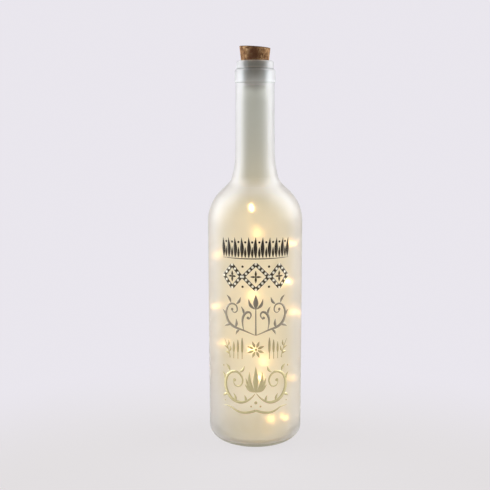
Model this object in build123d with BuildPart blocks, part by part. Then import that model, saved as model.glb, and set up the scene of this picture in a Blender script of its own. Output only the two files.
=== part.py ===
from build123d import *
import math
import os

# Cork bottle light, in millimetres. The origin is the centre of the base on the table,
# +Z is up the bottle and the printed front looks along -Y.

# Glass bottle
bottle_height = 294.0
body_diameter = 73.0
glass_wall = 3.0
heel_radius = 9.0
punt_height = 4.0
punt_diameter = 47.0
floor_glass = 6.0
floor_rise = 2.5
floor_corner_radius = 8.0
shoulder_start = 173.0
shoulder_radius = 32.5
shoulder_turn = 47.0
crook_radius = 14.0
throat_radius = 73.0
throat_turn = 15.0
neck_foot_diameter = 30.1
neck_top_diameter = 29.3
ring_diameter = 30.6
ring_height = 10.2
ring_rounding = 1.3
lip_diameter = 27.8
lip_height = 6.3
lip_rounding = 1.2
bore_diameter = 19.6
mouth_rounding = 0.6

# Cork stopper
cork_length = 30.0
cork_stand = 10.0
cork_top_diameter = 23.2
cork_bottom_diameter = 16.6
cork_edge = 0.6
cork_slant = 4.0
cork_seat_gap = 0.1
tray_bore_diameter = 14.0
cap_recess_diameter = 17.3
cap_recess_depth = 2.8
nail_notch_diameter = 6.0

# Battery tray and its cap
slide_gap = 0.1
tray_lift = 0.6
tray_wall = 1.0
skirt_depth = 1.8
floor_thickness = 1.0
bulkhead_thickness = 0.9
chamber_width = 9.0
chamber_back = 2.6
wire_notch_diameter = 1.2
cap_diameter = 17.0
cap_thickness = 1.4
cap_edge = 0.3

# Button cells
cell_count = 3
cell_diameter = 11.6
cell_height = 5.4
cell_step_diameter = 9.4
cell_step_height = 0.7
cell_edge = 0.4
cell_gap = 0.1

# Contacts of the tray
strip_thickness = 0.25
strip_width = 3.0
positive_height = 0.5
negative_height = 1.3
strip_reach = 4.0
tab_height = 2.0
tab_gap = 0.2

# Slide switch
frame_length = 8.6
frame_width = 4.4
frame_height = 3.4
frame_sheet = 0.3
frame_gap = 0.05
switch_travel = 2.0
stem_size = 1.5
stem_gap = 0.1
stem_rise = 1.0
slider_length = 3.6
slider_height = 1.2
base_thickness = 0.8
base_drop = 0.4
pin_pitch = 2.5
pin_width = 0.6
pin_depth = 0.3
pin_tail = 0.8
pin_head_length = 0.9
pin_head_width = 1.2
pin_head_height = 0.15
wiper_sheet = 0.15
wiper_width = 1.6
wiper_gap = 0.05

# Resistor and the wires inside the tray
resistor_diameter = 1.8
resistor_length = 3.4
resistor_edge = 0.3
resistor_lead = 1.2
resistor_gap = 0.05
resistor_front = 4.4
link_diameter = 0.5
link_bend = 0.5

# Seal round the pair of wires under the tray
seal_spigot_diameter = 1.8
seal_diameter = 4.4
seal_neck_diameter = 3.8
seal_tip_diameter = 1.6
seal_length = 5.9
seal_gap = 0.1

# Light string
string_diameter = 0.6
drop_diameter = 3.2
drop_length = 5.2
drop_end_diameter = 0.9
chip_length = 1.6
chip_width = 0.8
chip_height = 0.5
chip_overlap = 0.1
last_drop_setback = 2.4

# Routes of the three stretches of the string, chosen by hand
neck_route_upper = [
    (0, 0, 270.5), (0, 0, 266.5), (-2, -1, 261.5), (-5, -1, 256.5), (-6.6, 0.8, 249.5),
    (-6.4, 2.6, 239),
]
neck_route_lower = [
    (-6.4, 2.6, 239), (-6.3, 3.8, 232), (-6.9, 2, 223.5), (-6, -1, 215.5), (-5, -5, 208),
]
string_route = [
    (-5, -5, 208), (-4.2, -8.2, 201), (-5, -24, 195), (-1, -26, 177), (-2, -2, 164),
    (5, 22, 159), (21, 21, 159), (30, 5, 158), (26, -17, 154.6), (16, -26, 148),
    (12, -27, 138), (20, -21, 132), (29, -3, 123), (28.5, 8, 116), (27, 14.5, 110.5),
    (30.5, 13.5, 105.5), (32.3, 5, 102), (30, -5, 98.5), (20, -9, 98), (11, 2, 99),
    (8, 17, 103), (-10, 23, 115), (-21, 20, 141), (-28, 12, 151), (-32, -8, 141),
    (-31, -11, 118), (-30.8, 3, 94), (-29, 14, 85.5), (-25, 9, 77), (-27, -9, 73),
    (-25, -22, 70), (-13, -23, 73), (8, -13, 78), (17, 2, 72), (14, 14, 62),
    (1, 6, 52), (-12, 3, 46.5), (-14, -8, 46.5), (-4, -13, 49.5), (10, -15, 52.5),
    (22, -22, 50), (31, -11, 48), (27, 7, 45), (24, 17, 36), (25, 12, 26),
    (26, 0, 20), (20, -20, 13.5), (8, -26, 13), (-4, -18, 13), (-1, -7.5, 14),
    (14.8, -8.2, 14.8),
]
# The run of the string, counted from its first point, that each light drop sits on
drop_runs = [2, 4, 7, 11, 16, 20, 23, 25, 28, 31, 34, 38, 41, 45, 49]

# Share of the shorter run beside a point that its bend may use
bend_share = 0.45

# How far a cut runs past the faces that it opens
overrun = 1.0

# Heights and radii that follow from the sizes above
cork_top = bottle_height + cork_stand
cork_bottom = cork_top - cork_length
cork_taper = (cork_top_diameter - cork_bottom_diameter) / 2 / cork_length
cap_seat = cork_top - cap_recess_depth
tray_bottom = cork_bottom + tray_lift
tray_floor_underside = tray_bottom + skirt_depth
tray_floor = tray_floor_underside + floor_thickness
cells_bottom = tray_floor + negative_height
cells_top = cells_bottom + cell_count * cell_height
bay_top = cells_top + positive_height
chamber_floor = bay_top + bulkhead_thickness
tray_radius = tray_bore_diameter / 2 - slide_gap
frame_bottom = cap_seat - frame_height
base_bottom = frame_bottom - base_drop
base_top = base_bottom + base_thickness
pin_head_top = base_top + pin_head_height
slider_top = cap_seat - frame_sheet - stem_gap
slider_bottom = slider_top - slider_height
slider_rest = -switch_travel / 2
resistor_height = chamber_floor + resistor_gap + resistor_diameter / 2
link_x = resistor_length / 2 + resistor_lead + 2 * link_diameter
link_front = resistor_front + 1.5 * link_diameter


def cork_radius(height):
    return cork_bottom_diameter / 2 + cork_taper * (height - cork_bottom)


def bend_radii(route):
    # one for each inner point: a share of the shorter run over the tangent of half the turn
    points = [Vector(*point) for point in route]
    radii = []
    for before, here, after in zip(points, points[1:], points[2:]):
        turn = (here - before).get_angle(after - here)
        shorter = min((here - before).length, (after - here).length)
        radii.append(bend_share * shorter / math.tan(math.radians(turn) / 2))
    return radii


def make_tube(route, diameter, name):
    radii = bend_radii(route)
    with BuildPart() as tube:
        with BuildLine() as path:
            FilletPolyline(*route, radius=radii)
        line = path.wire()
        with BuildSketch(Plane(origin=line @ 0, z_dir=line % 0)):
            Circle(diameter / 2)
        sweep(path=line)
    length = line.length
    section = math.pi * diameter**2 / 4
    print(name, "length", round(length, 1), "radii", [round(r, 1) for r in radii])
    print(name, "volume", round(tube.part.volume, 2), "section times length", round(section * length, 2))
    return tube.part


def save(part, name):
    part.label = name
    export_step(part, f"parts/{name}.step")


def shoulder_line(start, inset):
    # shoulder, slope, crook and throat from the body wall up to the neck, inset from the outer face
    body_radius = body_diameter / 2 - inset
    neck_radius = neck_foot_diameter / 2 - inset
    round_radius = shoulder_radius - inset
    hollow_radius = crook_radius + inset
    long_radius = throat_radius + inset
    steep = math.radians(shoulder_turn)
    gentle = math.radians(throat_turn)
    fall = (
        round_radius * (1 - math.cos(steep))
        + hollow_radius * (math.cos(gentle) - math.cos(steep))
        + long_radius * (1 - math.cos(gentle))
    )
    slope_length = (body_radius - neck_radius - fall) / math.sin(steep)
    shoulder = JernArc(start, (0, 1), round_radius, shoulder_turn)
    slope = Line(shoulder @ 1, (shoulder @ 1) + (shoulder % 1) * slope_length)
    crook = JernArc(slope @ 1, slope % 1, hollow_radius, throat_turn - shoulder_turn)
    return JernArc(crook @ 1, crook % 1, long_radius, -throat_turn)


def make_bottle():
    ring_bottom = bottle_height - lip_height - ring_height
    ring_top = bottle_height - lip_height
    rest_radius = body_diameter / 2 - heel_radius
    seat_mouth = cork_radius(bottle_height) + cork_seat_gap
    seat_foot = bottle_height - (seat_mouth - bore_diameter / 2) / cork_taper
    inner_radius = body_diameter / 2 - glass_wall
    with BuildPart() as bottle:
        with BuildSketch(Plane.XZ):
            with BuildLine():
                punt = ThreePointArc(
                    (-punt_diameter / 2, 0), (0, punt_height), (punt_diameter / 2, 0), mode=Mode.PRIVATE
                )
                dome = punt.trim(0.5, 1)
                add(dome)
                rest = Line(dome @ 1, (rest_radius, 0))
                heel = JernArc(rest @ 1, (1, 0), heel_radius, 90)
                side = Line(heel @ 1, (body_diameter / 2, shoulder_start))
                throat = shoulder_line(side @ 1, 0)
                finish = FilletPolyline(
                    throat @ 1,
                    (neck_top_diameter / 2, ring_bottom),
                    (ring_diameter / 2, ring_bottom + ring_rounding),
                    (ring_diameter / 2, ring_top),
                    (lip_diameter / 2, ring_top),
                    (lip_diameter / 2, bottle_height),
                    (0, bottle_height),
                    radius=[0, ring_rounding / 2, ring_rounding, ring_rounding / 2, lip_rounding],
                )
                Line(finish @ 1, dome @ 0)
            make_face()
        revolve(axis=Axis.Z)
        with BuildSketch(Plane.XZ):
            with BuildLine():
                floor_edge = inner_radius - floor_corner_radius
                inner_floor = ThreePointArc(
                    (-floor_edge, floor_glass),
                    (0, floor_glass + floor_rise),
                    (floor_edge, floor_glass),
                    mode=Mode.PRIVATE,
                )
                inner_dome = inner_floor.trim(0.5, 1)
                add(inner_dome)
                corner = JernArc(inner_dome @ 1, (1, 0), floor_corner_radius, 90)
                wall = Line(corner @ 1, (inner_radius, shoulder_start))
                throat = shoulder_line(wall @ 1, glass_wall)
                bore = Line(throat @ 1, (bore_diameter / 2, seat_foot))
                seat = Line(bore @ 1, (seat_mouth, bottle_height))
                over = Line(seat @ 1, (seat_mouth, bottle_height + overrun))
                top = Line(over @ 1, (0, bottle_height + overrun))
                Line(top @ 1, inner_dome @ 0)
            make_face()
        revolve(axis=Axis.Z, mode=Mode.SUBTRACT)
        mouth = bottle.edges().filter_by(GeomType.CIRCLE).group_by(Axis.Z)[-1].sort_by(SortBy.RADIUS)[0]
        fillet(mouth, mouth_rounding)
    save(bottle.part, "glass_bottle")


def make_cork():
    rise = cork_top_diameter / 2 * math.tan(math.radians(cork_slant)) + overrun
    lean = math.radians(cork_slant)
    with BuildPart() as cork:
        with BuildSketch(Plane.XZ):
            with BuildLine():
                Polyline(
                    (0, cork_bottom),
                    (cork_bottom_diameter / 2, cork_bottom),
                    (cork_radius(cork_top + rise), cork_top + rise),
                    (0, cork_top + rise),
                    close=True,
                )
            make_face()
        revolve(axis=Axis.Z)
        chamfer(cork.edges().group_by(Axis.Z)[0], cork_edge)
        slant = Plane(origin=(0, 0, cork_top), x_dir=(math.cos(lean), 0, -math.sin(lean)),
                      z_dir=(math.sin(lean), 0, math.cos(lean)))
        split(bisect_by=slant, keep=Keep.BOTTOM)
        with BuildSketch(Plane.XY.offset(cork_bottom - overrun)):
            Circle(tray_bore_diameter / 2)
        extrude(amount=cork_length + rise + 2 * overrun, mode=Mode.SUBTRACT)
        with BuildSketch(Plane.XY.offset(cap_seat)):
            Circle(cap_recess_diameter / 2)
            with Locations((0, cork_top_diameter / 2)):
                Circle(nail_notch_diameter / 2)
        extrude(amount=cap_recess_depth + rise + overrun, mode=Mode.SUBTRACT)
    save(cork.part, "cork_stopper")


def make_tray():
    bay_radius = cell_diameter / 2 + cell_gap
    notch_angle = math.atan2(-link_front, link_x)
    notch_radius = tray_radius - wire_notch_diameter / 2 + slide_gap
    notch_place = (notch_radius * math.cos(notch_angle), notch_radius * math.sin(notch_angle))
    with BuildPart() as tray:
        with BuildSketch(Plane.XY.offset(tray_bottom)):
            Circle(tray_radius)
        extrude(amount=cap_seat - tray_bottom)
        with BuildSketch(Plane.XY.offset(tray_bottom)):
            Circle(tray_radius - tray_wall)
        extrude(amount=skirt_depth, mode=Mode.SUBTRACT)
        with BuildSketch(Plane.XY.offset(tray_floor)):
            Circle(bay_radius)
            with Locations((0, -tray_radius)):
                Rectangle(2 * tray_radius, 2 * tray_radius)
        extrude(amount=bay_top - tray_floor, mode=Mode.SUBTRACT)
        with BuildSketch(Plane.XY.offset(chamber_floor)):
            with Locations((0, chamber_back - tray_radius)):
                Rectangle(chamber_width, 2 * tray_radius)
        extrude(amount=cap_seat - chamber_floor, mode=Mode.SUBTRACT)
        with BuildSketch(Plane.XY.offset(tray_floor_underside)):
            Circle(seal_spigot_diameter / 2 + seal_gap)
        extrude(amount=floor_thickness, mode=Mode.SUBTRACT)
        with BuildSketch(Plane.XY.offset(bay_top)):
            with Locations((strip_reach - strip_thickness / 2, 0)):
                Rectangle(strip_thickness + 2 * tab_gap, strip_width + 2 * tab_gap)
        extrude(amount=bulkhead_thickness, mode=Mode.SUBTRACT)
        with BuildSketch(Plane.XY.offset(tray_bottom)):
            with Locations(notch_place):
                Circle(wire_notch_diameter / 2)
        extrude(amount=chamber_floor - tray_bottom, mode=Mode.SUBTRACT)
    save(tray.part, "battery_tray")


def make_cap():
    with BuildPart() as cap:
        with BuildSketch(Plane.XY.offset(cap_seat)):
            Circle(cap_diameter / 2)
        extrude(amount=cap_thickness)
        chamfer(cap.edges().group_by(Axis.Z)[-1], cap_edge)
        with BuildSketch(Plane.XY.offset(cap_seat)):
            Rectangle(stem_size + switch_travel + 2 * stem_gap, stem_size + 2 * stem_gap)
        extrude(amount=cap_thickness, mode=Mode.SUBTRACT)
    save(cap.part, "tray_cap")


def make_cells():
    for number in range(cell_count):
        bottom = cells_bottom + number * cell_height
        with BuildPart() as cell:
            with BuildSketch(Plane.XY.offset(bottom + cell_step_height)):
                Circle(cell_diameter / 2)
            extrude(amount=cell_height - cell_step_height)
            fillet(cell.edges(), cell_edge)
            with BuildSketch(Plane.XY.offset(bottom)):
                Circle(cell_step_diameter / 2)
            extrude(amount=cell_step_height + cell_edge)
        save(cell.part, f"button_cell_{number + 1}")


def make_contacts():
    low = tray_floor + strip_thickness / 2
    high = cells_bottom - strip_thickness / 2
    with BuildPart() as negative:
        with BuildSketch(Plane.XZ):
            with BuildLine():
                leaf = Polyline(
                    (strip_reach, low),
                    (-strip_reach, low),
                    (-strip_reach, low + 2 * strip_thickness),
                    (-strip_thickness, high),
                    (strip_thickness, high),
                    (strip_reach / 2, high - strip_thickness),
                )
            trace(leaf, strip_thickness)
        extrude(amount=strip_width / 2, both=True)
    save(negative.part, "negative_contact")
    bar = bay_top - strip_thickness / 2
    dimple = cells_top + strip_thickness / 2
    with BuildPart() as positive:
        with BuildSketch(Plane.XZ):
            with BuildLine():
                leaf = Polyline(
                    (-strip_reach, bar),
                    (-strip_reach / 2, bar),
                    (-strip_thickness, dimple),
                    (strip_thickness, dimple),
                    (strip_reach / 2, bar),
                    (strip_reach - strip_thickness / 2, bar),
                    (strip_reach - strip_thickness / 2, bar + tab_height),
                )
            trace(leaf, strip_thickness)
        extrude(amount=strip_width / 2, both=True)
    save(positive.part, "positive_contact")


def make_switch():
    inner_length = frame_length - 2 * frame_sheet
    inner_width = frame_width - 2 * frame_sheet
    pins = [(-pin_pitch, 0), (0, 0), (pin_pitch, 0)]
    with BuildPart() as frame:
        with BuildSketch(Plane.XY.offset(frame_bottom)):
            Rectangle(frame_length, frame_width)
        extrude(amount=frame_height)
        with BuildSketch(Plane.XY.offset(frame_bottom)):
            Rectangle(inner_length, inner_width)
        extrude(amount=frame_height - frame_sheet, mode=Mode.SUBTRACT)
        with BuildSketch(Plane.XY.offset(frame_bottom)):
            Rectangle(stem_size + switch_travel + 2 * stem_gap, stem_size + 2 * stem_gap)
        extrude(amount=frame_height, mode=Mode.SUBTRACT)
    save(frame.part, "switch_frame")
    with BuildPart() as base:
        with BuildSketch(Plane.XY.offset(base_bottom)):
            Rectangle(inner_length - 2 * frame_gap, inner_width - 2 * frame_gap)
            with Locations(pins):
                Rectangle(pin_width, pin_depth, mode=Mode.SUBTRACT)
        extrude(amount=base_thickness)
    save(base.part, "switch_base")
    with BuildPart() as pin_set:
        with BuildSketch(Plane.XY.offset(base_bottom - pin_tail)):
            with Locations(pins):
                Rectangle(pin_width, pin_depth)
        extrude(amount=pin_tail + base_thickness)
        with BuildSketch(Plane.XY.offset(base_top)):
            with Locations(pins):
                Rectangle(pin_head_length, pin_head_width)
        extrude(amount=pin_head_height)
    save(pin_set.part, "switch_pins")
    with BuildPart() as slider:
        with BuildSketch(Plane.XY.offset(slider_bottom)):
            with Locations((slider_rest, 0)):
                Rectangle(slider_length, inner_width - 2 * stem_gap)
        extrude(amount=slider_height)
        with BuildSketch(Plane.XY.offset(slider_top)):
            with Locations((slider_rest, 0)):
                Rectangle(stem_size, stem_size)
        extrude(amount=cap_seat + cap_thickness + stem_rise - slider_top)
        chamfer(slider.faces().sort_by(Axis.Z)[-1].edges(), stem_size / 8)
    save(slider.part, "switch_slider")
    touch = pin_head_top + wiper_gap + wiper_sheet / 2
    crown = slider_bottom - wiper_sheet / 2
    with BuildPart() as wiper:
        with BuildSketch(Plane.XZ):
            with BuildLine():
                bridge = Polyline(
                    (slider_rest - slider_length / 2, crown),
                    (slider_rest - pin_pitch / 2, touch),
                    (slider_rest - pin_pitch / 4, crown),
                    (slider_rest + pin_pitch / 4, crown),
                    (slider_rest + pin_pitch / 2, touch),
                    (slider_rest + slider_length / 2, crown),
                )
            trace(bridge, wiper_sheet)
        extrude(amount=wiper_width / 2, both=True)
    save(wiper.part, "switch_wiper")


def make_resistor():
    with BuildPart() as resistor:
        with BuildSketch(Plane.YZ.offset(-resistor_length / 2)):
            with Locations((-resistor_front, resistor_height)):
                Circle(resistor_diameter / 2)
        extrude(amount=resistor_length)
        fillet(resistor.edges().filter_by(GeomType.CIRCLE), resistor_edge)
        with BuildSketch(Plane.YZ.offset(-resistor_length / 2 - resistor_lead)):
            with Locations((-resistor_front, resistor_height)):
                Circle(link_diameter / 2)
        extrude(amount=resistor_length + 2 * resistor_lead)
    save(resistor.part, "resistor")


def make_link_wires():
    lead_end = resistor_length / 2 + resistor_lead
    pin_side = pin_pitch + pin_width / 2
    low_run = chamber_floor + link_diameter
    seal_side = seal_neck_diameter / 2
    under_floor = tray_bottom + skirt_depth / 2
    short_route = [
        (-lead_end, -resistor_front, resistor_height),
        (-link_x, -resistor_front, resistor_height),
        (-link_x, -frame_width / 2, low_run),
        (-link_x, 0, low_run),
        (-pin_side, 0, low_run),
    ]
    long_route = [
        (lead_end, -resistor_front, resistor_height),
        (link_x, -resistor_front, resistor_height),
        (link_x, -link_front, resistor_height - 1.5 * link_diameter),
        (link_x, -link_front, under_floor),
        (seal_side, -seal_side / 2, under_floor),
    ]
    for route, name in ((short_route, "pin_link_wire"), (long_route, "tray_link_wire")):
        with BuildPart() as wire:
            with BuildLine() as path:
                FilletPolyline(*route, radius=link_bend)
            line = path.wire()
            with BuildSketch(Plane(origin=line @ 0, z_dir=line % 0)):
                Circle(link_diameter / 2)
            sweep(path=line)
        save(wire.part, name)


def make_seal():
    neck_height = tray_bottom
    tip = tray_floor_underside - seal_length
    with BuildPart() as seal:
        with BuildSketch(Plane.XZ):
            with BuildLine():
                Polyline(
                    (0, tip),
                    (seal_tip_diameter / 2, tip),
                    (seal_neck_diameter / 2, neck_height),
                    (seal_diameter / 2, tray_floor_underside),
                    (seal_spigot_diameter / 2, tray_floor_underside),
                    (seal_spigot_diameter / 2, tray_floor),
                    (0, tray_floor),
                    close=True,
                )
            make_face()
        revolve(axis=Axis.Z)
    save(seal.part, "wire_seal")


def make_string():
    save(make_tube(neck_route_upper, string_diameter, "neck_wire_upper"), "neck_wire_upper")
    save(make_tube(neck_route_lower, string_diameter, "neck_wire_lower"), "neck_wire_lower")
    string = make_tube(string_route, string_diameter, "light_string")
    save(string, "light_string")
    for number, run in enumerate(drop_runs, 1):
        first = Vector(*string_route[run])
        second = Vector(*string_route[run + 1])
        along = (second - first).normalized()
        place = (first + second) * 0.5
        if number == len(drop_runs):
            place = second - along * last_drop_setback
        across = along.cross(Vector(0, 0, 1)).normalized()
        upright = across.cross(along).normalized()
        with BuildPart() as chip:
            with BuildSketch(Plane(origin=place + upright * (string_diameter / 2 - chip_overlap),
                                   x_dir=along, z_dir=upright)):
                Rectangle(chip_length, chip_width)
            extrude(amount=chip_height)
            add(string, mode=Mode.SUBTRACT)
        save(chip.part, f"light_chip_{number:02d}")
        with BuildPart() as drop:
            with BuildSketch(Plane(origin=place, x_dir=along, z_dir=across)):
                with BuildLine():
                    bulge = ThreePointArc(
                        (-drop_length / 2, drop_end_diameter / 2),
                        (0, drop_diameter / 2),
                        (drop_length / 2, drop_end_diameter / 2),
                    )
                    Polyline(bulge @ 1, (drop_length / 2, 0), (-drop_length / 2, 0), bulge @ 0)
                make_face()
            revolve(axis=Axis(place, along))
            add(string, mode=Mode.SUBTRACT)
            add(chip.part, mode=Mode.SUBTRACT)
        save(drop.part, f"light_drop_{number:02d}")


os.makedirs("parts", exist_ok=True)
make_bottle()
make_cork()
make_tray()
make_cap()
make_cells()
make_contacts()
make_switch()
make_resistor()
make_link_wires()
make_seal()
make_string()
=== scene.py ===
import math

import bmesh
import bpy
from mathutils import Matrix, Vector


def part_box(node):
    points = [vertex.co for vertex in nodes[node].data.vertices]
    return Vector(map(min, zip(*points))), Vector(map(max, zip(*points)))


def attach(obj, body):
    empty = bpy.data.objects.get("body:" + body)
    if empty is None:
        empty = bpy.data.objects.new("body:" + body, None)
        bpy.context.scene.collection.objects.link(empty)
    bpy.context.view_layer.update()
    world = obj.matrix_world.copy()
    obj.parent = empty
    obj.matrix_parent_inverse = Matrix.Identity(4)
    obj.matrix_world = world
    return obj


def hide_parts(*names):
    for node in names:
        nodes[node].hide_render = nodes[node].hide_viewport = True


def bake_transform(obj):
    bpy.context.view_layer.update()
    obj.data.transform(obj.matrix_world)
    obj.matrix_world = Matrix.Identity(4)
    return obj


# Cork bottle light: frosted glass bottle, cork with its battery tray, and the string of lights inside.
# Metres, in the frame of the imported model: base centre at the origin, +Z up, the printed front along -Y.

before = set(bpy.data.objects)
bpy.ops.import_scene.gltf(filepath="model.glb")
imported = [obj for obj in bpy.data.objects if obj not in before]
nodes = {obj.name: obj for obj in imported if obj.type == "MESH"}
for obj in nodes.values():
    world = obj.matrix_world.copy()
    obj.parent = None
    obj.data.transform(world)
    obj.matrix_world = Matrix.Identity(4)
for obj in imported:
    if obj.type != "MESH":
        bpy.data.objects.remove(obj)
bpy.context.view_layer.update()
mm = 0.001
print("frame loaded,", len(nodes), "nodes")


class Value:  # one output socket, so that shader maths is written as sums
    def __init__(self, tree, socket):
        self.tree = tree
        self.socket = socket

    def maths(self, operation, first, second=0.0):
        return addNode(self.tree, "Math", {"operation": operation}, {0: first, 1: second})

    def __add__(self, other):
        return self.maths("ADD", self, other)

    def __sub__(self, other):
        return self.maths("SUBTRACT", self, other)

    def __mul__(self, other):
        return self.maths("MULTIPLY", self, other)

    def __truediv__(self, other):
        return self.maths("DIVIDE", self, other)

    def __rsub__(self, other):
        return self.maths("SUBTRACT", other, self)

    def __rtruediv__(self, other):
        return self.maths("DIVIDE", other, self)

    __radd__ = __add__
    __rmul__ = __mul__


def feed(tree, socket, value):
    if isinstance(value, Value):
        tree.links.new(value.socket, socket)
    elif socket.type == "RGBA" and len(value) == 3:
        socket.default_value = (*value, 1.0)
    else:
        socket.default_value = value


def addNode(tree, kind, settings=None, sockets=None, output=0):
    node = tree.nodes.new("ShaderNode" + kind)
    for key, value in (settings or {}).items():
        if key == "stops":
            ramp = node.color_ramp
            while len(ramp.elements) < len(value):
                ramp.elements.new(1.0)
            for element, (position, colour) in zip(ramp.elements, value):
                element.position = position
                element.color = (*colour, 1.0)
        else:
            setattr(node, key, value)
    for key, value in (sockets or {}).items():
        feed(tree, node.inputs[key], value)
    return Value(tree, node.outputs[output])


class Finish:  # a material with one principled shader, and short names for the nodes that feed it
    def __init__(self, name, **sockets):
        self.material = bpy.data.materials.new(name)
        self.material.use_nodes = True
        self.tree = self.material.node_tree
        self.shader = next(n for n in self.tree.nodes if n.type == "BSDF_PRINCIPLED")
        self.place = addNode(self.tree, "TexCoord", output="Object")
        self.set(**sockets)

    def set(self, **sockets):
        for name, value in sockets.items():
            feed(self.tree, self.shader.inputs[name.replace("_", " ")], value)

    def node(self, kind, settings=None, sockets=None, output=0):
        return addNode(self.tree, kind, settings, sockets, output)

    def mapped(self, scale=(1, 1, 1), shift=(0, 0, 0)):
        return self.node("Mapping", None, {"Vector": self.place, "Scale": scale, "Location": shift}, "Vector")

    def noise(self, size, detail=3.0, roughness=0.5, place=None, distortion=0.0):
        return self.node("TexNoise", None, {"Vector": place or self.place, "Scale": 1 / size,
                                            "Detail": detail, "Roughness": roughness,
                                            "Distortion": distortion}, "Fac")

    def cells(self, size, place=None, feature="F1", output="Distance"):
        return self.node("TexVoronoi", {"feature": feature}, {"Vector": place or self.place, "Scale": 1 / size},
                         output)

    def axis(self, letter, vector=None):
        return self.node("SeparateXYZ", None, {0: vector or self.place}, letter)

    def clamp(self, value, low=0.0, high=1.0, newLow=0.0, newHigh=1.0, smooth=False):
        return self.node("MapRange", {"interpolation_type": "SMOOTHSTEP" if smooth else "LINEAR"},
                         {"Value": value, "From Min": low, "From Max": high, "To Min": newLow,
                          "To Max": newHigh}, "Result")

    def ramp(self, value, *stops):
        return self.node("ValToRGB", {"stops": stops}, {0: value}, "Color")

    def mix(self, share, first, second):
        return self.node("Mix", {"data_type": "RGBA"}, {0: share, 6: first, 7: second}, 2)

    def bump(self, height, depth, strength=1.0, normal=None):
        sockets = {"Height": height, "Distance": depth, "Strength": strength}
        if normal:
            sockets["Normal"] = normal
        return self.node("Bump", None, sockets, "Normal")


def dress(finish, *names):
    for name in names:
        node = nodes[name]
        node.data.materials.clear()
        node.data.materials.append(finish.material)


cameraPlan = {"place": (-0.0079, -0.604, 0.255), "pitch": 9.5, "roll": -0.15, "lens": 57.67}
cameraData = bpy.data.cameras.new("camera")
cameraData.lens = cameraPlan["lens"]
camera = bpy.data.objects.new("camera", cameraData)
bpy.context.scene.collection.objects.link(camera)
camera.matrix_world = (Matrix.Translation(cameraPlan["place"])
                       @ Matrix.Rotation(math.radians(90 - cameraPlan["pitch"]), 4, "X")
                       @ Matrix.Rotation(math.radians(cameraPlan["roll"]), 4, "Z"))
bpy.context.scene.camera = camera
bpy.context.scene.view_settings.view_transform = "Standard"

stagePlan = {"backdrop": (0.82, 0.795, 0.85), "ambient": (0.11, 0.11, 0.115), "roomShade": 0.8,
             "roomDepth": (-0.5, 0.3), "floorSize": 8.0, "floorColour": (0.60, 0.58, 0.60),
             "floorShadeAndGlow": (0.765, 0.74, 0.75), "floorShadeCentre": (0, -0.25, 0), "floorReach": (0.23, 0.43),
             "floorFade": (0.05, 0.20), "floorShade": 0.06, "lampAim": (0, 0, 0.16)}


def seenRay(tree):
    # 1 on rays that show the backdrop: the camera's own, off gloss or through glass, with nothing matt between
    rays = [addNode(tree, "LightPath", output=f"Is {kind} Ray")
            for kind in ("Camera", "Glossy", "Transmission")]
    matt = addNode(tree, "LightPath", output="Diffuse Depth")
    seen = rays[0].maths("MAXIMUM", rays[0].maths("MAXIMUM", rays[0], rays[1]), rays[2])
    return seen * matt.maths("LESS_THAN", matt, 0.5)


def makeWorld():
    world = bpy.data.worlds.new("studio")
    bpy.context.scene.world = world
    world.use_nodes = True
    tree = world.node_tree
    tree.nodes.clear()
    # the room in front of the bottle is darker, as gloss shows it
    direction = addNode(tree, "TexCoord", output="Generated")
    depth = addNode(tree, "SeparateXYZ", None, {0: direction}, "Y")
    front, back = stagePlan["roomDepth"]
    room = addNode(tree, "MapRange", {"interpolation_type": "SMOOTHSTEP"},
                   {"Value": depth, "From Min": front, "From Max": back, "To Min": 1 - stagePlan["roomShade"],
                    "To Max": 1.0}, "Result")
    gloss = addNode(tree, "LightPath", output="Is Glossy Ray")
    shown = seenRay(tree) * (1 - gloss * (1 - room))
    colour = addNode(tree, "Mix", {"data_type": "RGBA"},
                     {0: shown, 6: stagePlan["ambient"], 7: stagePlan["backdrop"]}, 2)
    shade = addNode(tree, "Background", None, {"Color": colour, "Strength": 1.0})
    tree.links.new(shade.socket, tree.nodes.new("ShaderNodeOutputWorld").inputs[0])


def makeFloor():
    form = bmesh.new()
    bmesh.ops.create_grid(form, x_segments=1, y_segments=1, size=stagePlan["floorSize"])
    mesh = bpy.data.meshes.new("floor")
    form.to_mesh(mesh)
    floor = bpy.data.objects.new("floor", mesh)
    bpy.context.scene.collection.objects.link(floor)
    paint = Finish("floorPaint", Base_Color=stagePlan["floorColour"], Roughness=0.9, Specular_IOR_Level=0.1)
    tree = paint.tree
    # shown as plain glow, a little darker and warmer close to the bottle: painted shade, with the bottle's glow
    # painted into it; farther off it passes into the backdrop's tone
    away = paint.node("VectorMath", {"operation": "LENGTH"}, {0: paint.place}, "Value")
    far = paint.clamp(away, *stagePlan["floorFade"], 1 - stagePlan["floorShade"], 1.0, smooth=True)
    ray = seenRay(tree)
    ahead = paint.node("VectorMath", {"operation": "DISTANCE"},
                       {0: paint.place, 1: stagePlan["floorShadeCentre"]}, "Value")
    distant = paint.clamp(ahead, *stagePlan["floorReach"], smooth=True)
    tone = paint.mix(distant, stagePlan["floorShadeAndGlow"], stagePlan["backdrop"])
    glow = paint.node("Emission", None, {"Color": tone, "Strength": 1.0})
    mixer = tree.nodes.new("ShaderNodeMixShader")
    feed(tree, mixer.inputs[0], far * ray)
    tree.links.new(paint.shader.outputs[0], mixer.inputs[1])
    tree.links.new(glow.socket, mixer.inputs[2])
    output = next(n for n in tree.nodes if n.type == "OUTPUT_MATERIAL")
    tree.links.new(mixer.outputs[0], output.inputs[0])
    mesh.materials.append(paint.material)


lamps = [  # name, place, size, power, colour
    ("leftBox", (-0.62, 0.07, 0.47), (0.74, 0.92), 13.0, (0.94, 0.975, 1.0)),
    ("rightBox", (0.62, 0.05, 0.56), (0.84, 0.86), 12.5, (0.95, 0.985, 1.0)),
    ("frontFill", (0.0, -1.3, 0.9), (1.0, 0.6), 0.9, (1.0, 1.0, 1.0)),
]


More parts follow.
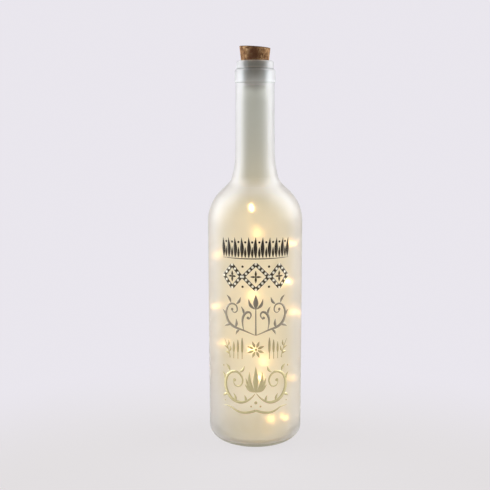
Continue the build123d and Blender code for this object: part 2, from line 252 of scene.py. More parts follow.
def makeLamps():
    for name, place, size, power, colour in lamps:
        data = bpy.data.lights.new(name, "AREA")
        data.shape = "RECTANGLE"
        data.size, data.size_y = size
        data.energy = power
        data.color = colour
        lamp = bpy.data.objects.new(name, data)
        bpy.context.scene.collection.objects.link(lamp)
        aim = Vector(stagePlan["lampAim"]) - Vector(place)
        lamp.matrix_world = Matrix.Translation(place) @ aim.to_track_quat("-Z", "Y").to_matrix().to_4x4()
        lamp.visible_camera = False
        lamp.visible_transmission = False


makeWorld()
makeFloor()
makeLamps()
print("camera, floor and lamps")

stringPlan = {"thickness": 0.6, "strand": 0.3, "pitch": 4.2, "steps": 30}
neckRouteUpper = [(0, 0, 270.5), (0, 0, 266.5), (-2, -1, 261.5), (-5, -1, 256.5), (-6.6, 0.8, 249.5),
                  (-6.4, 2.6, 239)]
neckRouteLower = [(-6.4, 2.6, 239), (-6.3, 3.8, 232), (-6.9, 2, 223.5), (-6, -1, 215.5), (-5, -5, 208)]
stringRoute = [
    (-5, -5, 208), (-4.2, -8.2, 201), (-5, -24, 195), (-1, -26, 177), (-2, -2, 164),
    (5, 22, 159), (21, 21, 159), (30, 5, 158), (26, -17, 154.6), (16, -26, 148),
    (12, -27, 138), (20, -21, 132), (29, -3, 123), (28.5, 8, 116), (27, 14.5, 110.5),
    (30.5, 13.5, 105.5), (32.3, 5, 102), (30, -5, 98.5), (20, -9, 98), (11, 2, 99),
    (8, 17, 103), (-10, 23, 115), (-21, 20, 141), (-28, 12, 151), (-32, -8, 141),
    (-31, -11, 118), (-30.8, 3, 94), (-29, 14, 85.5), (-25, 9, 77), (-27, -9, 73),
    (-25, -22, 70), (-13, -23, 73), (8, -13, 78), (17, 2, 72), (14, 14, 62),
    (1, 6, 52), (-12, 3, 46.5), (-14, -8, 46.5), (-4, -13, 49.5), (10, -15, 52.5),
    (22, -22, 50), (31, -11, 48), (27, 7, 45), (24, 17, 36), (25, 12, 26),
    (26, 0, 20), (20, -20, 13.5), (8, -26, 13), (-4, -18, 13), (-1, -7.5, 14),
    (14.8, -8.2, 14.8)]


def curveObject(name, points, kind, **settings):
    data = bpy.data.curves.new(name, "CURVE")
    data.dimensions = "3D"
    for key, value in settings.items():
        setattr(data, key, value)
    spline = data.splines.new(kind)
    spline.points.add(len(points) - 1)
    for point, place in zip(spline.points, points):
        point.co = (*place, 1.0)
    if kind == "NURBS":
        spline.order_u = 3
        spline.use_endpoint_u = True
    made = bpy.data.objects.new(name, data)
    bpy.context.scene.collection.objects.link(made)
    bpy.context.view_layer.update()
    return made


def meshOf(thing):
    graph = bpy.context.evaluated_depsgraph_get()
    mesh = bpy.data.meshes.new_from_object(thing.evaluated_get(graph))
    bpy.data.objects.remove(thing)
    return mesh


def centreLine(name, route):
    points = [Vector(p) * mm for p in route]
    mesh = meshOf(curveObject(name + "Line", points, "NURBS", resolution_u=stringPlan["steps"]))
    return [v.co.copy() for v in mesh.vertices]


def twist(line, phase):
    # one strand wound round the line, carried along by a frame that doesn't turn of itself
    offset = (stringPlan["thickness"] - stringPlan["strand"]) / 2 * mm
    side = Vector((1, 0, 0))
    travelled = 0.0
    strand = []
    for index, place in enumerate(line):
        before = line[max(index - 1, 0)]
        after = line[min(index + 1, len(line) - 1)]
        along = (after - before).normalized()
        side = (side - along * side.dot(along)).normalized()
        travelled += (place - before).length
        angle = phase + 2 * math.pi * travelled / (stringPlan["pitch"] * mm)
        strand.append(place + (side * math.cos(angle) + along.cross(side) * math.sin(angle)) * offset)
    return strand


def stringPiece(name, route):
    line = centreLine(name, route)
    form = bmesh.new()
    for number in (0, 1):
        tube = curveObject(name + "Strand", twist(line, number * math.pi), "POLY",
                           bevel_depth=stringPlan["strand"] / 2 * mm, bevel_resolution=1,
                           use_fill_caps=True)
        form.from_mesh(meshOf(tube))
    bmesh.ops.remove_doubles(form, verts=form.verts, dist=1e-7)
    bmesh.ops.recalc_face_normals(form, faces=form.faces)
    for face in form.faces:
        face.smooth = True
    mesh = bpy.data.meshes.new(name)
    form.to_mesh(mesh)
    form.free()
    piece = bpy.data.objects.new(name, mesh)
    bpy.context.scene.collection.objects.link(piece)
    return piece, line


def stringLength(line):
    return sum((b - a).length for a, b in zip(line, line[1:]))


wirePaint = Finish("enamelledWire", Metallic=1.0)
shadeOfWire = wirePaint.noise(0.004, 2.0)
wirePaint.set(Base_Color=wirePaint.ramp(shadeOfWire, (0.3, (0.70, 0.62, 0.48)), (0.7, (0.86, 0.82, 0.72))),
              Roughness=wirePaint.clamp(shadeOfWire, 0.3, 0.7, 0.24, 0.4))

drops = [f"light_drop_{n:02d}" for n in range(1, 16)]
upperWire, upperLine = stringPiece("neckWireUpper", neckRouteUpper)
lowerWire, lowerLine = stringPiece("neckWireLower", neckRouteLower)
lightString, stringLine = stringPiece("lightString", stringRoute)
for piece in (upperWire, lowerWire, lightString):
    piece.data.materials.append(wirePaint.material)
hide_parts("neck_wire_upper")
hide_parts("neck_wire_lower")
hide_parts("light_string")
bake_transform(upperWire)
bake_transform(lowerWire)
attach(lightString, "bottle")
print("string of lights", [round(stringLength(line), 4) for line in (upperLine, lowerLine, stringLine)])

glowPlan = {"bright": 7.0, "plain": 5.2, "soft": 2.2,  # the lights face different ways, so some look dimmer
            "brightDrops": (1, 4), "softDrops": (7, 8, 9, 13, 14, 15)}


def makeResin(name, strength):
    # clear resin round the chip, with small bubbles, so that its glow is uneven
    made = Finish(name, Base_Color=(1.0, 0.9, 0.7), Transmission_Weight=0.5, IOR=1.48,
                  Emission_Strength=strength)
    bubbles = made.noise(0.0007, 3.0)
    made.set(Emission_Color=made.ramp(bubbles, (0.3, (1.0, 0.58, 0.21)), (0.7, (1.0, 0.66, 0.30))),
             Roughness=made.clamp(bubbles, 0.3, 0.7, 0.08, 0.2), Normal=made.bump(bubbles, 0.00005, 0.5))
    return made


chipPaint = Finish("phosphor", Emission_Strength=6.0)
speck = chipPaint.noise(0.0002, 2.0)
chipPaint.set(Base_Color=chipPaint.ramp(speck, (0.3, (0.90, 0.68, 0.14)), (0.7, (1.0, 0.84, 0.26))),
              Emission_Color=chipPaint.ramp(speck, (0.3, (1.0, 0.74, 0.38)), (0.7, (1.0, 0.84, 0.50))),
              Roughness=chipPaint.clamp(speck, 0.3, 0.7, 0.4, 0.6))
resins = {grade: makeResin(grade + "Resin", glowPlan[grade]) for grade in ("bright", "plain", "soft")}
for number, drop in enumerate(drops, 1):
    grade = "bright" if number in glowPlan["brightDrops"] else "plain"
    if number in glowPlan["softDrops"]:
        grade = "soft"
    dress(resins[grade], drop)
dress(chipPaint, *(drop.replace("drop", "chip") for drop in drops))

# heights are shares of "tall" in "tones" and "veil", and metres elsewhere
# the dark neck tint is painted shade for the dim inside of the neck
glassPlan = {"tall": 0.30, "colour": (0.665, 0.645, 0.525), "neckColour": (0.33, 0.358, 0.31),
             # the pale bottom tint is painted light on the lower glass
             "mouthColour": (0.56, 0.645, 0.65), "bottomColour": (0.93, 0.92, 0.87),
             "baseColour": (0.46, 0.45, 0.31),  # of the solid glass at the very bottom
             "tones": ((0.02, "bottomColour"), (0.17, "colour"), (0.6, "colour"), (0.70, "neckColour"),
                       (0.915, "neckColour"), (0.93, "mouthColour"), (1.0, "mouthColour")),
             "inner": (0.97, 0.98, 0.97), "frost": 0.41, "neckFrost": 0.48, "smooth": 0.06,
             "frostChange": (0.19, 0.22), "solidBottom": (0.0040, 0.0052), "grain": 0.0006,
             "grainDepth": 0.00002,
             # the pale edge colour is painted reflection at grazing edges and painted highlight in the bright
             # lines
             "paintedHighlight": (0.98, 0.98, 0.97), "neckStart": (0.170, 0.205),
             "pale": ((0.24, 0.02), (0.54, 0.42)),  # slant from which and up to which the edges turn pale: painted reflection
             "glow": (1.0, 0.62, 0.13), "nearGlow": (1.0, 0.79, 0.36), "haze": 0.095, "reach": 0.022,
             "halo": 0.085, "haloReach": 0.009, "glowSlant": (0.02, 0.50), "edgeGlow": 0.08, "bottomDim": 0.7,
             # the veil is painted light: lamp light scattered by the neck's frost, given as emission
             "veil": ((0.62, (0.0, 0.0, 0.0)), (0.72, (0.08, 0.083, 0.08)), (0.88, (0.085, 0.088, 0.085)),
                      (0.905, (0.15, 0.154, 0.148)), (0.93, (0.15, 0.157, 0.154)),
                      (0.942, (0.08, 0.086, 0.086)), (0.955, (0.026, 0.03, 0.03)),
                      (0.975, (0.008, 0.011, 0.012))),
             "veilSlant": (0.20, 0.52), "underside": 0.2783, "undersideReach": (0.0006, 0.0014),
             "litSide": (0.000, 0.009), "litShare": 1.6,
             # painted shade along the ring's creases
             "creaseShadeLines": (0.2881, 0.2779), "creaseShadeColour": (0.24, 0.27, 0.25),
             # painted highlight lines beside the creases
             "highlightLines": (0.2892, 0.2762), "lineHalf": 0.0008, "lineShare": 0.85}
glass = Finish("pearlFrost", IOR=1.5, Transmission_Weight=0.95, Specular_IOR_Level=1.0)


def lightPlaces():
    # the middle of each light, from its node's box
    places = []
    for name in drops:
        low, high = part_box(name)
        places.append((low + high) / 2)
    return places


def frostedSide(height):
    # 1 on the etched outer face, 0 on the smooth inner one, told apart by the way that each face points
    shape = addNode(glass.tree, "NewGeometry", output="Normal")
    behind = addNode(glass.tree, "NewGeometry", output="Backfacing")
    upward = glass.place.maths("MINIMUM", height * 0.3 - 0.009, 0.002)  # the floor faces down, the lip up
    outward = glass.node("CombineXYZ", None, {"X": glass.axis("X"), "Y": glass.axis("Y"), "Z": upward},
                         "Vector")
    facing = glass.node("VectorMath", {"operation": "DOT_PRODUCT"}, {0: shape, 1: outward}, "Value")
    return glass.place.maths("GREATER_THAN", facing * (1 - behind * 2), 0.0)


def lightsNearby(reach):
    # sum over the lights, each worth 1 at its place and a half at the reach from it
    total = 0.0
    for place in lightPlaces():
        away = glass.node("VectorMath", {"operation": "DISTANCE"}, {0: glass.place, 1: place}, "Value")
        total = reach ** 2 / (away * away + reach ** 2) + total
    return total


def glassTint(height, slant, thick):
    tones = [(stop, glassPlan[tone]) for stop, tone in glassPlan["tones"]]
    # tones along the height, with painted shade in the neck and painted light at the bottom
    tint = glass.ramp(height / glassPlan["tall"], *tones)
    paleFrom, paleTo = (glass.clamp(height, *glassPlan["neckStart"], body, neck)
                        for body, neck in glassPlan["pale"])
    # painted reflection: the edges turn pale where the surface slants away
    tint = glass.mix(glass.clamp(slant, paleFrom, paleTo, smooth=True), tint, glassPlan["paintedHighlight"])
    tint = glass.mix(thick, tint, glassPlan["baseColour"])
    # painted shade in the creases and painted highlight lines beside them
    for lines, colour in (("creaseShadeLines", "creaseShadeColour"), ("highlightLines", "paintedHighlight")):
        for line in glassPlan[lines]:
            away = glass.place.maths("ABSOLUTE", height - line)
            share = glass.clamp(away, 0.0, glassPlan["lineHalf"], glassPlan["lineShare"], 0.0, smooth=True)
            tint = glass.mix(share, tint, glassPlan[colour])
    return tint


def scatteredLight(slant, thick):
    # light that the frost scatters near each light
    haze = lightsNearby(glassPlan["reach"])
    halo = lightsNearby(glassPlan["haloReach"])
    warm = glass.mix(glass.clamp(halo, 0.0, 1.2), glassPlan["glow"], glassPlan["nearGlow"])
    light = haze * glassPlan["haze"] + halo * glassPlan["halo"]
    light = (light * glass.clamp(slant, *glassPlan["glowSlant"], 1.0, glassPlan["edgeGlow"])
             * (1 - thick * glassPlan["bottomDim"]))
    return glass.node("VectorMath", {"operation": "SCALE"}, {0: warm, "Scale": light}, "Vector")


def frostLightVeil(height, slant):
    # painted light: lamp light that the near side of the neck's frost scatters over the things behind it,
    # brighter towards the right lamp
    veil = glass.ramp(height / glassPlan["tall"], *glassPlan["veil"])
    near = 1 - addNode(glass.tree, "NewGeometry", output="Backfacing")
    # the ring's underside is steep and has the veil all the same
    away = glass.place.maths("ABSOLUTE", height - glassPlan["underside"])
    plain = glass.clamp(away, *glassPlan["undersideReach"], smooth=True)
    lit = glass.clamp(glass.axis("X"), *glassPlan["litSide"], 1.0, glassPlan["litShare"], smooth=True)
    share = near * lit * glass.clamp(slant * plain, *glassPlan["veilSlant"], 1.0, 0.0, smooth=True)
    return glass.node("VectorMath", {"operation": "SCALE"}, {0: veil, "Scale": share}, "Vector")


def makeGlass():
    height = glass.axis("Z")
    slant = glass.node("LayerWeight", None, {"Blend": 0.5}, "Facing")
    thick = glass.clamp(height, *glassPlan["solidBottom"], 1.0, 0.0, smooth=True)
    tint = glassTint(height, slant, thick)
    scatter = glass.node("VectorMath", {"operation": "ADD"},
                         {0: scatteredLight(slant, thick), 1: frostLightVeil(height, slant)}, "Vector")
    outside = frostedSide(height)
    etched = glass.clamp(height, *glassPlan["frostChange"], glassPlan["frost"], glassPlan["neckFrost"])
    glass.set(Base_Color=glass.mix(outside, glassPlan["inner"], tint),
              Emission_Color=glass.mix(outside, (0, 0, 0), scatter), Emission_Strength=1.0,
              Roughness=outside * (etched - glassPlan["smooth"]) + glassPlan["smooth"],
              Normal=glass.bump(glass.noise(glassPlan["grain"], 2.0), glassPlan["grainDepth"], 0.6))


makeGlass()
dress(glass, "glass_bottle")
print("glass bottle")

# printed ornament: drawn flat in mm (across, up), then laid round the front of the glass
printPlan = {"radius": 36.5, "flat": 0.02, "proud": 0.06, "beadProud": 0.13, "beadFlat": 0.05,
             "sheet": 0.2,  # the height that the ink's tones are shares of
             "tones": ((0.0, (0.64, 0.55, 0.29)), (0.33, (0.61, 0.52, 0.27)), (0.40, (0.52, 0.42, 0.20)),
                       (0.48, (0.34, 0.29, 0.21)), (0.60, (0.22, 0.185, 0.135)), (0.64, (0.06, 0.043, 0.017)),
                       (0.73, (0.045, 0.031, 0.013)), (0.78, (0.028, 0.020, 0.010)))}


class Ornament:  # strokes and dots on the flat sheet; each is repeated on the other side of the middle
    def __init__(self, name):
        self.name = name
        self.curve = bpy.data.curves.new(name, "CURVE")
        self.curve.dimensions = "3D"
        self.curve.bevel_depth = 0.5
        self.curve.bevel_resolution = 1
        self.curve.resolution_u = 5
        self.curve.use_fill_caps = True
        self.dots = bmesh.new()

    def stroke(self, points, widths, both=True):
        for side in ((1, -1) if both else (1,)):
            spline = self.curve.splines.new("NURBS")
            spline.points.add(len(points) - 1)
            for point, (across, up), width in zip(spline.points, points, widths):
                point.co = (across * side, 0, up, 1)
                point.radius = width
            spline.order_u = 3
            spline.use_endpoint_u = True

    def leaf(self, stem, tip, width, bend=0.12, both=True):
        # a lens-shaped stroke that leans to one side
        stem, tip = Vector(stem), Vector(tip)
        along = tip - stem
        side = Vector((-along.y, along.x)) * bend
        points = [stem, stem + along * 0.3 + side, stem + along * 0.65 + side, tip]
        self.stroke([tuple(p) for p in points], [width * 0.2, width * 1.25, width * 0.95, 0.05], both)

    def dot(self, place, size, both=True):
        for side in ((1, -1) if both else (1,)):
            bmesh.ops.create_uvsphere(self.dots, u_segments=12, v_segments=6, radius=size / 2,
                                      matrix=Matrix.Translation((place[0] * side, 0, place[1])))

    def lay(self, flat, proud):
        form = self.dots
        if self.curve.splines:
            flatCurve = bpy.data.objects.new(self.name, self.curve)
            bpy.context.scene.collection.objects.link(flatCurve)
            bpy.context.view_layer.update()
            form.from_mesh(meshOf(flatCurve))
        for vertex in form.verts:
            across, out, up = vertex.co
            reach = printPlan["radius"] + proud - out * flat
            angle = across / printPlan["radius"]
            vertex.co = Vector((reach * math.sin(angle), -reach * math.cos(angle), up)) * mm
        bmesh.ops.remove_doubles(form, verts=form.verts, dist=1e-8)
        bmesh.ops.recalc_face_normals(form, faces=form.faces)
        for face in form.faces:
            face.smooth = True
        mesh = bpy.data.meshes.new(self.name)
        form.to_mesh(mesh)
        form.free()
        piece = bpy.data.objects.new(self.name, mesh)
        bpy.context.scene.collection.objects.link(piece)
        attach(piece, "bottle")
        return piece


def drawLeafFrieze(ink):
    for step, across in enumerate((0.0, 5.2, 10.4, 15.6, 20.8, 25.6)):
        ink.leaf((across, 150.4), (across + 0.10 * across * 0.3, 166 - 0.25 * step), 3.0, 0.02, both=step > 0)
    for across in (2.6, 7.8, 13.0, 18.2, 23.3):
        ink.leaf((across, 150.4), (across, 158.6), 1.7, 0.0)
        ink.dot((across, 161.9), 1.7)
    ink.stroke([(-26.4, 149.6), (-9, 149.6), (9, 149.6), (26.4, 149.6)], [0.3, 0.9, 0.9, 0.3], both=False)


def drawBeadedLozenges(ink, beads):
    for across, wide, tall, count in ((0, 9.6, 9.6, 4), (18.2, 7.2, 8.6, 3)):
        corners = [(across + wide, 136), (across, 136 + tall), (across - wide, 136), (across, 136 - tall)]
        for start, end in zip(corners, corners[1:] + corners[:1]):
            ink.stroke([start, ((start[0] + end[0]) / 2, (start[1] + end[1]) / 2), end], [3.0, 3.2, 3.0],
                       both=across > 0)
            for number in range(count):
                share = number / count
                beads.dot((start[0] + (end[0] - start[0]) * share, start[1] + (end[1] - start[1]) * share), 1.9,
                          both=across > 0)
        for turn in range(4):
            angle = math.pi * turn / 2
            tip = (across + wide * 0.45 * math.cos(angle), 136 + tall * 0.5 * math.sin(angle))
            ink.leaf((across, 136), tip, 1.5, 0.0, both=across > 0)
    ink.dot((9.9, 128.4), 1.8)
    ink.dot((9.9, 143.6), 1.8)


def drawVine(ink):
    ink.stroke([(0.3, 91.5), (4, 93), (10, 95.5), (17, 97), (22.5, 101), (24.5, 108), (21, 115), (15, 115),
                (13.6, 109.5), (17.5, 107.6), (19, 110.5)],
               [0.5, 1.0, 1.5, 2.2, 2.7, 2.2, 1.6, 1.3, 1.1, 0.8, 0.6])
    ink.stroke([(9, 95), (10.6, 101), (9, 108), (4.6, 110), (2.9, 106), (5.4, 103.6)],
               [0.5, 1.5, 2.4, 1.7, 1.1, 0.7])
    ink.dot((5.9, 104.8), 2.1)
    ink.dot((18.4, 110.6), 2.1)
    for stem, tip, width in (((23.6, 104), (27.4, 109.6), 2.0), ((16, 96.6), (15.2, 103.8), 2.1),
                             ((20, 98.4), (25.6, 96.4), 1.9), ((12, 96), (15.4, 91.2), 1.8),
                             ((19.5, 115.6), (23.4, 121.2), 2.0), ((15, 115), (11.4, 120.6), 2.0),
                             ((9.2, 107), (11.2, 113.4), 1.7)):
        ink.leaf(stem, tip, width)
    ink.leaf((0, 111.5), (0, 122.6), 3.4, 0.0, both=False)
    ink.leaf((0.6, 111.6), (5.4, 119.6), 2.2, -0.15)
    ink.stroke([(0, 91.4), (0, 98), (0, 104), (0, 111.5)], [1.4, 1.0, 1.0, 0.7], both=False)


def drawReeds(ink):
    for turn in range(8):
        angle = math.radians(45 * turn + 22.5)
        ink.leaf((1.5 * math.cos(angle), 80.4 + 1.5 * math.sin(angle)),
                 (7.0 * math.cos(angle), 80.4 + 7.0 * math.sin(angle)), 2.1, 0.0, both=False)
    ink.dot((0, 80.4), 2.0, both=False)
    for across, top in ((10.4, 89.4), (13.8, 87.6), (17.2, 85.8)):
        ink.stroke([(across, 72.6), (across, 76), (across, 80)], [0.6, 0.7, 0.6])
        ink.stroke([(across, 77.6), (across, 79), (across, top - 3), (across, top)], [0.8, 1.9, 1.9, 0.4])
    ink.stroke([(20.4, 72.8), (21, 77), (23, 82), (25.6, 87)], [1.0, 0.9, 0.8, 0.4])
    for stem, tip in (((20.6, 75.4), (25.0, 77.0)), ((21.6, 79), (26.0, 81.4)), ((21.2, 77.6), (19.9, 82.2)),
                      ((22.6, 81.6), (21.8, 86.6))):
        ink.leaf(stem, tip, 1.7)


def drawScroll(ink):
    ink.stroke([(0.4, 46), (4, 41), (12, 37.5), (21, 41), (25.6, 50), (23, 60), (14.6, 63.6), (9.2, 57),
                (12, 50.4), (18, 51.6), (17.4, 56.6)],
               [0.6, 1.6, 2.6, 3.3, 3.3, 2.6, 2.0, 1.6, 1.3, 1.0, 0.6])
    ink.dot((16.6, 55.6), 2.6)
    ink.stroke([(0, 32.4), (6, 30.2), (14, 30.4), (21, 34.6), (26.2, 34)], [2.2, 2.4, 1.9, 1.2, 0.3])
    for angle, length, width in ((16, 17.0, 3.0), (34, 14.0, 2.6), (54, 10.5, 2.2)):
        turn = math.radians(90 - angle)
        ink.leaf((0.6, 47), (length * math.cos(turn), 47 + length * math.sin(turn)), width, -0.12)
    ink.leaf((0, 46.6), (0, 67.6), 3.6, 0.0, both=False)
    for stem, tip, width in (((25, 54), (27.6, 60.6), 2.2), ((22.6, 43.4), (27.4, 41.0), 2.1),
                             ((16, 38.4), (17.6, 45.2), 2.1), ((20.6, 62.2), (24.4, 67.4), 2.2),
                             ((12.4, 62.2), (8.6, 67.6), 2.1), ((8, 38.6), (8.8, 44.6), 1.9)):
        ink.leaf(stem, tip, width)
    ink.dot((0, 38.6), 2.4, both=False)
    for place, size in (((3.6, 35.6), 1.5), ((26.6, 65.6), 1.4), ((25.4, 38.0), 1.2)):
        ink.dot(place, size)


ink, beads = Ornament("frontPrint"), Ornament("printBeads")
drawLeafFrieze(ink)
drawBeadedLozenges(ink, beads)
drawVine(ink)
drawReeds(ink)
drawScroll(ink)
inkFilm = ink.lay(printPlan["flat"], printPlan["proud"])
beadFilm = beads.lay(printPlan["beadFlat"], printPlan["beadProud"])
inkPaint = Finish("foilInk", Metallic=0.35)
inkPaint.set(Base_Color=inkPaint.ramp(inkPaint.axis("Z") / printPlan["sheet"], *printPlan["tones"]),
             Roughness=inkPaint.clamp(inkPaint.noise(0.0008, 3.0), 0.3, 0.7, 0.34, 0.5))
inkFilm.data.materials.append(inkPaint.material)
beadPaint = Finish("beadInk", Base_Color=(0.90, 0.84, 0.68))
beadPaint.set(Roughness=beadPaint.clamp(beadPaint.noise(0.0006, 2.0), 0.3, 0.7, 0.4, 0.6))
beadFilm.data.materials.append(beadPaint.material)
print("printed ornament", len(inkFilm.data.polygons), "faces")

# cork: pressed grains with bark pits, painted shade on the middle of the front and along the top rim
corkPlan = {"grain": 0.0019, "wander": 0.0011, "pit": 0.0030, "frontShadeSpot": (-0.0014, -0.0116, 0.2988),
            "frontShadeReach": (0.0028, 0.0066), "frontShadeShare": 0.80, "frontShadeColour": (0.07, 0.022, 0.008),
            "pitColour": (0.045, 0.018, 0.008), "seamColour": (0.10, 0.042, 0.018), "ragged": 1400.0,
            "blotch": 0.0045, "fibre": 0.0007, "pore": 0.0009,
            "tones": ((0.25, (0.035, 0.012, 0.004)), (0.44, (0.12, 0.052, 0.020)),
                      (0.58, (0.29, 0.158, 0.068)), (0.78, (0.49, 0.33, 0.18))),
            "top": 0.304, "lean": 0.07, "rimHeight": (-0.0007, -0.0002), "rimRadius": (0.0106, 0.0112),
            "rimShadeColour": (0.05, 0.022, 0.01), "seatedShade": 0.42, "seatedFade": 0.0045,
            "seatedShadeColour": (0.085, 0.09, 0.085)}
corkPaint = Finish("corkGrain", Specular_IOR_Level=0.15)


def makeCorkPaint():
    height = corkPaint.axis("Z")
    across = corkPaint.axis("X")
    # grains with ragged edges: the cells are read at places that wander
    stray = corkPaint.node("TexNoise", None, {"Vector": corkPaint.place, "Scale": corkPlan["ragged"],
                                              "Detail": 4.0}, "Color")
    wandered = corkPaint.node("VectorMath", {"operation": "MULTIPLY_ADD"},
                              {0: stray, 1: (corkPlan["wander"],) * 3, 2: corkPaint.place}, "Vector")
    grains = corkPaint.axis("X", corkPaint.cells(corkPlan["grain"], wandered, output="Color"))
    seams = corkPaint.cells(corkPlan["grain"], wandered, "DISTANCE_TO_EDGE")
    seams = corkPaint.clamp(seams, 0.0, 0.07, smooth=True)
    blotch = corkPaint.noise(corkPlan["blotch"], 5.0, 0.62)
    fibre = corkPaint.noise(corkPlan["fibre"], 4.0, 0.65, corkPaint.mapped(scale=(1, 1, 0.5)))
    pits = corkPaint.cells(corkPlan["pit"], corkPaint.mapped(scale=(1, 1, 0.45), shift=(0.0013, 0.0, 0.0007)))
    pores = corkPaint.cells(corkPlan["pore"])
    tone = corkPaint.ramp(grains * 0.22 + blotch * 0.42 + fibre * 0.44, *corkPlan["tones"])
    tone = corkPaint.mix((1 - seams) * 0.4, tone, corkPlan["seamColour"])
    # painted shade: a darker spot on the middle of the front
    near = corkPaint.node("VectorMath", {"operation": "DISTANCE"},
                          {0: corkPaint.place, 1: corkPlan["frontShadeSpot"]}, "Value")
    frontShadeSpot = corkPaint.clamp(near, *corkPlan["frontShadeReach"], corkPlan["frontShadeShare"], 0.0, smooth=True)
    tone = corkPaint.mix(frontShadeSpot, tone, corkPlan["frontShadeColour"])
    sound = corkPaint.clamp(pits, 0.06, 0.24, smooth=True) * corkPaint.clamp(pores, 0.08, 0.3, 0.55, 1.0)
    colour = corkPaint.mix(sound, corkPlan["pitColour"], tone)
    flat = corkPaint.node("VectorMath", {"operation": "MULTIPLY"}, {0: corkPaint.place, 1: (1, 1, 0)}, "Vector")
    out = corkPaint.node("VectorMath", {"operation": "LENGTH"}, {0: flat}, "Value")
    # painted shade along the top rim
    edge = height + across * corkPlan["lean"] - corkPlan["top"]
    rimShade = (corkPaint.clamp(edge, *corkPlan["rimHeight"], smooth=True)
           * corkPaint.clamp(out, *corkPlan["rimRadius"], smooth=True))
    colour = corkPaint.mix(rimShade * 0.75, colour, corkPlan["rimShadeColour"])
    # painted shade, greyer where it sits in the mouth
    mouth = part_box("glass_bottle")[1].z
    seated = corkPaint.clamp(height + (blotch - 0.5) * 0.006, mouth - corkPlan["seatedFade"], mouth,
                             corkPlan["seatedShade"], 0.0, smooth=True)
    colour = corkPaint.mix(seated, colour, corkPlan["seatedShadeColour"])
    corkPaint.set(Base_Color=colour, Roughness=corkPaint.clamp(fibre, 0.3, 0.7, 0.8, 0.95),
                  Normal=corkPaint.bump(sound * 0.7 + seams * 0.15 + fibre * 0.25, 0.0005, 0.8))


makeCorkPaint()
dress(corkPaint, "cork_stopper")
print("cork")


# moulded parts: a fine spark-eroded grain, cloudy colour and scuffs
def moulded(name, colour, roughness, worn, grain=0.00016):
    made = Finish(name, Specular_IOR_Level=0.42)
    cloud = made.noise(0.0035, 4.0)
    spark = made.noise(grain, 2.0)
    scuff = made.clamp(made.noise(0.0013, 6.0, 0.7, distortion=1.6), 0.56, 0.72, smooth=True)
    shade = made.ramp(cloud, (0.34, tuple(c * 0.78 for c in colour)), (0.66, tuple(c * 1.2 for c in colour)))
    made.set(Base_Color=made.mix(scuff * 0.4, shade, worn),
             Roughness=cloud * 0.16 + scuff * 0.12 + (roughness - 0.08),
             Normal=made.bump(spark * 0.8 + scuff * 0.4, 0.00003, 0.6))
    return made


capPlan = {"colour": (0.075, 0.042, 0.022), "markPlace": 0.0052, "markSize": 0.0009, "markLine": 0.00014,
           "face": 0.30255, "mark": (0.42, 0.34, 0.24)}
trayPlastic = moulded("trayPlastic", (0.030, 0.030, 0.032), 0.52, (0.10, 0.10, 0.10))
sliderPlastic = moulded("sliderPlastic", (0.022, 0.022, 0.024), 0.4, (0.12, 0.12, 0.12), 0.0001)
capPlastic = moulded("capPlastic", capPlan["colour"], 0.5, (0.16, 0.11, 0.07))


def makeCapMarks():
    # a moulded bar on the lit side of the switch and a ring on the other
    across, away, height = (capPlastic.axis(letter) for letter in "XYZ")
    maths = capPlastic.place.maths
    bar = (maths("LESS_THAN", maths("ABSOLUTE", across + capPlan["markPlace"]), capPlan["markLine"])
           * maths("LESS_THAN", maths("ABSOLUTE", away), capPlan["markSize"]))
    shifted = across - capPlan["markPlace"]
    reach = maths("SQRT", shifted * shifted + away * away)
    ring = maths("LESS_THAN", maths("ABSOLUTE", reach - capPlan["markSize"] * 0.85), capPlan["markLine"])
    mark = maths("MAXIMUM", bar, ring) * maths("GREATER_THAN", height, capPlan["face"])
    base = capPlastic.shader.inputs["Base Color"].links[0].from_socket
    capPlastic.set(Base_Color=capPlastic.mix(mark * 0.8, Value(capPlastic.tree, base), capPlan["mark"]))


makeCapMarks()
dress(trayPlastic, "battery_tray")
dress(sliderPlastic, "switch_slider")
dress(capPlastic, "tray_cap")


# sheet and turned metal: long rubbing marks, small stains and dents
def metal(name, colour, stain, roughness, rub=(1, 1, 0.08)):
    made = Finish(name, Metallic=1.0)
    rubbed = made.noise(0.00035, 3.0, 0.6, made.mapped(scale=rub))
    cloud = made.noise(0.003, 5.0, 0.6)
    spots = made.clamp(made.noise(0.0012, 4.0, 0.7), 0.60, 0.72, smooth=True)
    shade = made.ramp(cloud, (0.32, tuple(c * 0.82 for c in colour)), (0.68, colour))
    made.set(Base_Color=made.mix(spots * 0.45, shade, stain),
             Roughness=rubbed * 0.2 + spots * 0.2 + (roughness - 0.1),
             Normal=made.bump(rubbed * 0.5 + cloud * 0.5, 0.00002, 0.4))
    return made


dress(metal("platedSteel", (0.70, 0.70, 0.72), (0.42, 0.38, 0.33), 0.30), "switch_frame")
dress(metal("nickel", (0.74, 0.71, 0.65), (0.45, 0.36, 0.22), 0.26, (0.08, 1, 1)),
      "switch_pins", "switch_wiper", "positive_contact", "negative_contact")

cellPlan = {"height": 0.0054, "step": 0.0047, "seal": 0.00045, "sealTop": 0.0009,
            "sealColour": (0.03, 0.05, 0.04), "crossArm": 0.0013, "crossLine": 0.00018, "crossAway": 0.0034,
            "crossColour": (0.25, 0.25, 0.25)}


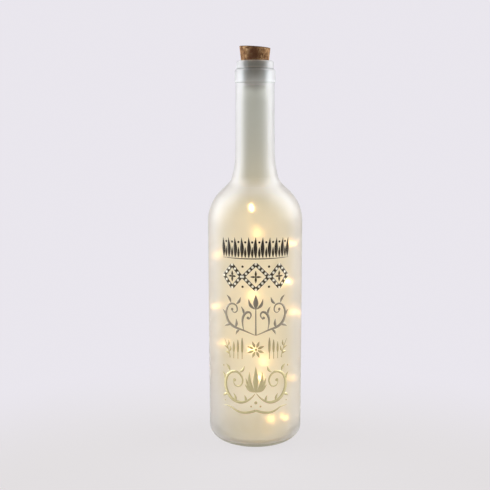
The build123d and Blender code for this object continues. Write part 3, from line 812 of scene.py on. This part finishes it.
def makeCellPaint(name):
    # nickelled can, the dark sealing ring round its lower cap, and a plus sign stamped in its top
    low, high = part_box(name)
    made = metal(name + "Steel", (0.74, 0.74, 0.74), (0.50, 0.48, 0.45), 0.24, (1, 1, 1))
    across, away, height = (made.axis(letter) for letter in "XYZ")
    maths = made.place.maths
    out = maths("SQRT", across * across + away * away)
    rise = height - low.z
    sealHalf = cellPlan["seal"] / 2
    seal = (maths("LESS_THAN", maths("ABSOLUTE", out - (cellPlan["step"] + sealHalf)), sealHalf)
            * maths("LESS_THAN", rise, cellPlan["sealTop"]))
    side = maths("ABSOLUTE", across)
    along = maths("ABSOLUTE", away - cellPlan["crossAway"])
    line, arm = cellPlan["crossLine"], cellPlan["crossArm"]
    upright = maths("LESS_THAN", side, line) * maths("LESS_THAN", along, arm)
    level = maths("LESS_THAN", along, line) * maths("LESS_THAN", side, arm)
    stamp = maths("MAXIMUM", upright, level) * maths("GREATER_THAN", rise, cellPlan["height"] - 0.0001)
    base = Value(made.tree, made.shader.inputs["Base Color"].links[0].from_socket)
    rough = Value(made.tree, made.shader.inputs["Roughness"].links[0].from_socket)
    old = Value(made.tree, made.shader.inputs["Normal"].links[0].from_socket)
    base = made.mix(seal, made.mix(stamp * 0.6, base, cellPlan["crossColour"]), cellPlan["sealColour"])
    made.set(Base_Color=base, Metallic=1 - seal, Roughness=rough + seal * 0.2,
             Normal=made.bump(1 - stamp, 0.00006, 0.8, old))
    return made


for name in ("button_cell_1", "button_cell_2", "button_cell_3"):
    dress(makeCellPaint(name), name)

# resistor: enamelled body with colour bands, tinned leads beyond its ends
resistorPlan = {"half": 0.00172, "bands": ((-0.0011, (0.16, 0.06, 0.02)), (-0.0005, (0.01, 0.01, 0.01)),
                                           (0.0001, (0.16, 0.06, 0.02)), (0.0010, (0.55, 0.38, 0.10))),
                "bandHalf": 0.00016, "body": (0.62, 0.48, 0.30), "lead": (0.72, 0.71, 0.70)}
resistorPaint = Finish("resistorPaint", Specular_IOR_Level=0.5)


def makeResistorPaint():
    across = resistorPaint.axis("X")
    maths = resistorPaint.place.maths
    cloud = resistorPaint.noise(0.0006, 3.0)
    body = resistorPlan["body"]
    colour = resistorPaint.ramp(cloud, (0.3, tuple(c * 0.85 for c in body)), (0.7, body))
    for place, shade in resistorPlan["bands"]:
        band = maths("LESS_THAN", maths("ABSOLUTE", across - place), resistorPlan["bandHalf"])
        colour = resistorPaint.mix(band, colour, shade)
    lead = maths("GREATER_THAN", maths("ABSOLUTE", across), resistorPlan["half"])
    resistorPaint.set(Base_Color=resistorPaint.mix(lead, colour, resistorPlan["lead"]), Metallic=lead,
                      Roughness=cloud * 0.15 + 0.25, Normal=resistorPaint.bump(cloud, 0.00003, 0.5))


makeResistorPaint()
dress(resistorPaint, "resistor")

# phenolic board, link wires' sleeves and the seal
boardPaint = Finish("phenolicBoard", Specular_IOR_Level=0.4)
paper = boardPaint.noise(0.0004, 4.0, 0.6, boardPaint.mapped(scale=(0.2, 1, 1)))
boardPaint.set(Base_Color=boardPaint.ramp(paper, (0.3, (0.17, 0.075, 0.025)), (0.7, (0.34, 0.17, 0.07))),
               Roughness=boardPaint.clamp(paper, 0.3, 0.7, 0.5, 0.7),
               Normal=boardPaint.bump(paper, 0.00002, 0.5))
dress(boardPaint, "switch_base")
sleevePaint = Finish("wireSleeve", Specular_IOR_Level=0.45)
bloom = sleevePaint.noise(0.0009, 4.0)
sleevePaint.set(Base_Color=sleevePaint.ramp(bloom, (0.3, (0.36, 0.015, 0.012)), (0.7, (0.56, 0.04, 0.03))),
                Roughness=sleevePaint.clamp(bloom, 0.3, 0.7, 0.3, 0.48),
                Normal=sleevePaint.bump(bloom, 0.00003, 0.5))
dress(sleevePaint, "pin_link_wire", "tray_link_wire")
sealPaint = Finish("sealSilicone", Specular_IOR_Level=0.4)
dust = sealPaint.noise(0.0007, 5.0, 0.65)
sealPaint.set(Base_Color=sealPaint.ramp(dust, (0.35, (0.66, 0.65, 0.61)), (0.75, (0.82, 0.81, 0.78))),
              Roughness=sealPaint.clamp(dust, 0.3, 0.7, 0.35, 0.6), Normal=sealPaint.bump(dust, 0.00005, 0.6))
dress(sealPaint, "wire_seal")
print("battery tray, switch and cells")
